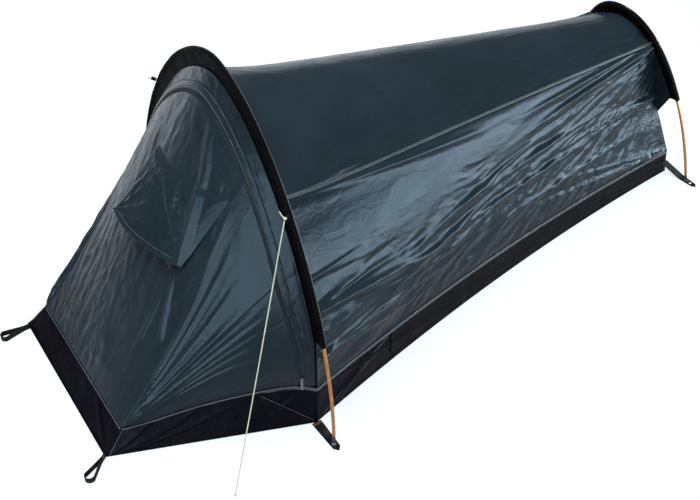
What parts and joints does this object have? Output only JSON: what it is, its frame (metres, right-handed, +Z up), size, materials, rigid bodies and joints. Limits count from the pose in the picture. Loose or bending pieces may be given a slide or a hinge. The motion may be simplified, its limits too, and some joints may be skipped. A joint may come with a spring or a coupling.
{
  "type": "bivvy_tent",
  "caption": "Low one-person bivvy tent with a tall front hoop, a small rear hoop, a zipped sloping door with a hooded vent, a black tub floor and peg points",
  "frame": {"origin": "the middle of the groundsheet's underside, below the top of the front hoop", "axes": "+X across the tent to the sleeper's right seen from the door, +Y from the front hoop towards the foot end, +Z up"},
  "size_m": [1.094, 2.0216, 0.7807],
  "materials": {
    "anodised_tube": "satin",
    "plain_metal": "satin",
    "elastic": "matte",
    "sleeve_fabric": "matte",
    "canopy_fabric": "satin",
    "insect_mesh": "matte",
    "zip_tape": "matte",
    "dark_metal": "satin",
    "tub_fabric": "satin",
    "webbing": "matte",
    "guy_cord": "matte"
  },
  "bodies": {
    "tent": {"front_pole_section_1": "anodised_tube", "front_pole_section_2": "anodised_tube", "front_pole_section_3": "anodised_tube", "front_pole_section_4": "anodised_tube", "front_pole_section_5": "anodised_tube", "rear_pole_section_1": "anodised_tube", "rear_pole_section_2": "anodised_tube", "rear_pole_section_3": "anodised_tube", "front_pole_tip_right": "plain_metal", "front_pole_tip_left": "plain_metal", "rear_pole_tip_right": "plain_metal", "rear_pole_tip_left": "plain_metal", "front_shock_cord": "elastic", "rear_shock_cord": "elastic", "front_sleeve": "sleeve_fabric", "rear_sleeve": "sleeve_fabric", "roof_panel": "canopy_fabric", "side_panel_right": "canopy_fabric", "side_panel_left": "canopy_fabric", "rear_panel": "canopy_fabric", "rear_wing_right": "canopy_fabric", "rear_wing_left": "canopy_fabric", "door_surround": "canopy_fabric", "storm_flap": "canopy_fabric", "zip_half_surround": "zip_tape", "groundsheet": "tub_fabric", "tub_wall_front": "tub_fabric", "tub_wall_right": "tub_fabric", "tub_wall_left": "tub_fabric", "tub_wall_rear": "tub_fabric", "hoop_strap_right": "webbing", "hoop_strap_left": "webbing", "rear_strap_right": "webbing", "rear_strap_left": "webbing", "guyline_tab_right": "webbing", "guyline_tab_left": "webbing", "front_eyelet_right": "plain_metal", "front_eyelet_left": "plain_metal", "rear_eyelet_right": "plain_metal", "rear_eyelet_left": "plain_metal", "guyline_knot_right": "guy_cord", "guyline_knot_left": "guy_cord", "guyline_end_knot": "guy_cord", "guyline_right": "guy_cord"},
    "door": {"door_panel": "canopy_fabric", "zip_half_door": "zip_tape", "vent_mesh": "insect_mesh"},
    "vent_hood": {"vent_flap": "canopy_fabric"},
    "slider_right": {"zip_slider_right": "dark_metal"},
    "slider_left": {"zip_slider_left": "dark_metal"},
    "pull_right": {"zip_pull_right": "dark_metal"},
    "pull_left": {"zip_pull_left": "dark_metal"},
    "loop_right": {"peg_loop_right": "webbing"},
    "loop_left": {"peg_loop_left": "webbing"}
  },
  "joints": [
    {"name": "door", "type": "hinge", "parent": "tent", "child": "door", "pos_m": [0, -0.414, 0.0533], "axis": [1, 0, 0], "range_deg": [0, 105]},
    {"name": "vent_hood", "type": "hinge", "parent": "door", "child": "vent_hood", "pos_m": [0, -0.0536, 0.535], "axis": [-1, 0, 0], "range_deg": [0, 45]},
    {"name": "slider_right", "type": "slide", "parent": "tent", "child": "slider_right", "axis": [-0.0022, -0.0487, 0.9988], "range_m": [0, 0.06]},
    {"name": "slider_left", "type": "slide", "parent": "tent", "child": "slider_left", "axis": [0.0022, -0.0487, 0.9988], "range_m": [0, 0.06]},
    {"name": "pull_right", "type": "hinge", "parent": "slider_right", "child": "pull_right", "pos_m": [0.42629, -0.02285, 0.14829], "axis": [-0.5599, -0.8275, -0.0415], "range_deg": [0, 110]},
    {"name": "pull_left", "type": "hinge", "parent": "slider_left", "child": "pull_left", "pos_m": [-0.42629, -0.02285, 0.14829], "axis": [-0.5599, 0.8275, 0.0415], "range_deg": [0, 110]},
    {"name": "loop_right", "type": "hinge", "parent": "tent", "child": "loop_right", "pos_m": [0.26524, -0.46732, 0.016], "axis": [-0.7986, -0.6018, 0], "range_deg": [0, 50]},
    {"name": "loop_left", "type": "hinge", "parent": "tent", "child": "loop_left", "pos_m": [-0.24699, -0.4674, 0.016], "axis": [-0.9997, -0.0262, 0], "range_deg": [0, 50]}
  ]
}
